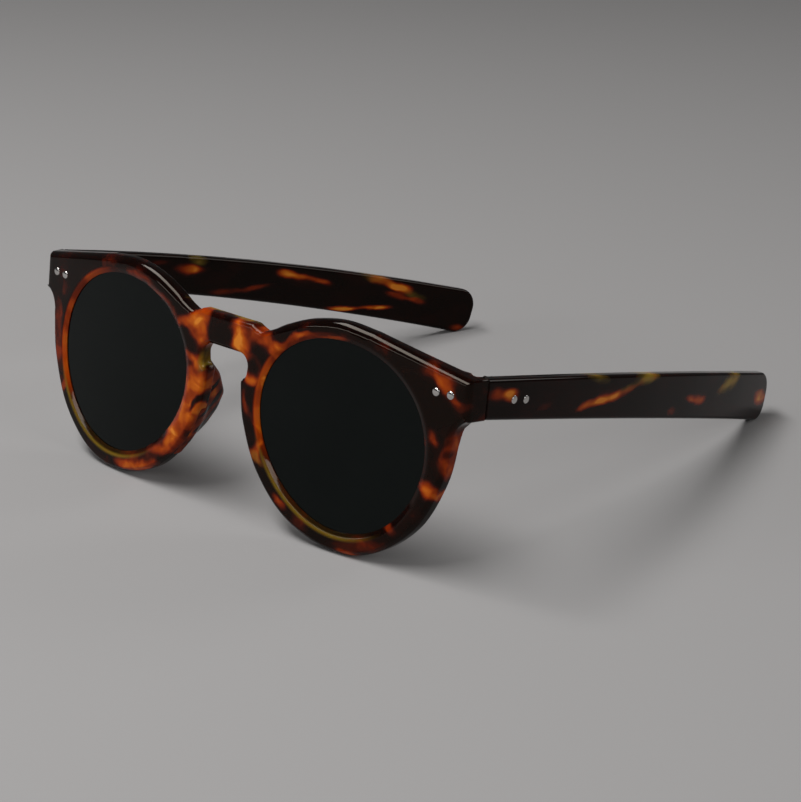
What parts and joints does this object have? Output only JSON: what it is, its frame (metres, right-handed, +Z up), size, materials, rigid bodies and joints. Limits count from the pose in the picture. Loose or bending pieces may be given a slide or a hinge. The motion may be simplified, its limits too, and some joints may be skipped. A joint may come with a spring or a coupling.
{
  "type": "round sunglasses",
  "caption": "Round sunglasses with a thick acetate front, keyhole bridge, dark lenses, built-up nose pads and straight folding temples on riveted hinges.",
  "frame": {"origin": "Centre of the bounding box on the ground, at rest with the temples open and the rims and temple tips standing on a flat surface.", "axes": "+X towards the wearer's left, -Y the way the wearer looks, +Y back along the temples, +Z up."},
  "size_m": [0.1394, 0.1572, 0.0538],
  "materials": {
    "front_acetate": "polished tortoise-pattern acetate",
    "temple_acetate": "polished dark tortoise-pattern acetate",
    "tinted_lens": "smooth, dark grey-green tint",
    "hinge_metal": "fine brushed nickel alloy",
    "bright_metal": "polished"
  },
  "bodies": {
    "front": {"front_frame": "front_acetate", "left_lens": "tinted_lens", "left_nose_pad": "front_acetate", "left_front_hinge_plate": "hinge_metal", "left_hinge_screw": "bright_metal", "left_front_rivet_inner": "bright_metal", "left_front_rivet_outer": "bright_metal", "right_lens": "tinted_lens", "right_nose_pad": "front_acetate", "right_front_hinge_plate": "hinge_metal", "right_hinge_screw": "bright_metal", "right_front_rivet_inner": "bright_metal", "right_front_rivet_outer": "bright_metal"},
    "left_temple": {"left_temple": "temple_acetate", "left_core_wire": "hinge_metal", "left_temple_hinge_plate": "hinge_metal", "left_temple_rivet_front": "bright_metal", "left_temple_rivet_rear": "bright_metal"},
    "right_temple": {"right_temple": "temple_acetate", "right_core_wire": "hinge_metal", "right_temple_hinge_plate": "hinge_metal", "right_temple_rivet_front": "bright_metal", "right_temple_rivet_rear": "bright_metal"}
  },
  "joints": [
    {"name": "left_temple_fold", "type": "hinge", "parent": "front", "child": "left_temple", "pos_m": [0.0661, -0.06441, 0.04221], "axis": [0, 0.084, 0.9965], "range_deg": [0, 84]},
    {"name": "right_temple_fold", "type": "hinge", "parent": "front", "child": "right_temple", "pos_m": [-0.0661, -0.06441, 0.04221], "axis": [0, -0.084, -0.9965], "range_deg": [0, 76]}
  ]
}
